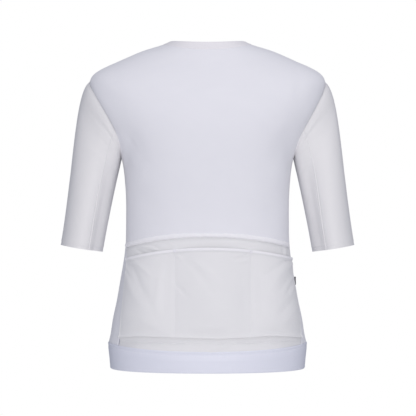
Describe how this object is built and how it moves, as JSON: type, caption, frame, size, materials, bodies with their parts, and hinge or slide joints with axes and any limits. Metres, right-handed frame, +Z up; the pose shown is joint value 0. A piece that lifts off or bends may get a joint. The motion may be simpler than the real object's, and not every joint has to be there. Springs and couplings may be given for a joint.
{
  "type": "cycling jersey",
  "caption": "Short-sleeved cycling jersey in its worn shape, open and empty, with a low collar, full front zip, rear pockets and an elastic hem band.",
  "frame": {"origin": "on the centre plane between the shoulders, at the height of the neck base, where the wearer carries it", "axes": "+Z up, +Y the way the wearer faces, +X the wearer's right"},
  "size_m": [0.5494, 0.2292, 0.6091],
  "materials": {
    "body_cloth": "fine warp-knit polyester, soft sheen, bluish white",
    "pocket_cloth": "fine warp-knit polyester, warm white",
    "sleeve_cloth": "smooth stretch warp knit, warm white",
    "collar_cloth": "folded band of the body cloth",
    "elastic_band": "smooth elastic band, bluish white, satin",
    "zip_tape": "woven tape with moulded coil",
    "slider_metal": "painted zinc, satin",
    "loop_tape": "folded woven tape, dark grey"
  },
  "bodies": {
    "garment": {"back_upper": "body_cloth", "back_lower": "body_cloth", "waist_tape": "body_cloth", "pocket_left": "pocket_cloth", "pocket_centre": "pocket_cloth", "pocket_right": "pocket_cloth", "front_left": "body_cloth", "front_right": "body_cloth", "sleeve_left": "sleeve_cloth", "sleeve_right": "sleeve_cloth", "sleeve_under_left": "sleeve_cloth", "sleeve_under_right": "sleeve_cloth", "collar": "collar_cloth", "hem_band": "elastic_band", "front_zip": "zip_tape", "zip_slider": "slider_metal", "side_loop": "loop_tape"},
    "pull_tab": {"zip_pull": "slider_metal"}
  },
  "joints": [
    {"name": "pull_tab_hinge", "type": "hinge", "parent": "garment", "child": "pull_tab", "pos_m": [0, 0.06999, -0.06399], "axis": [1, 0, 0], "range_deg": [0, 170]}
  ]
}
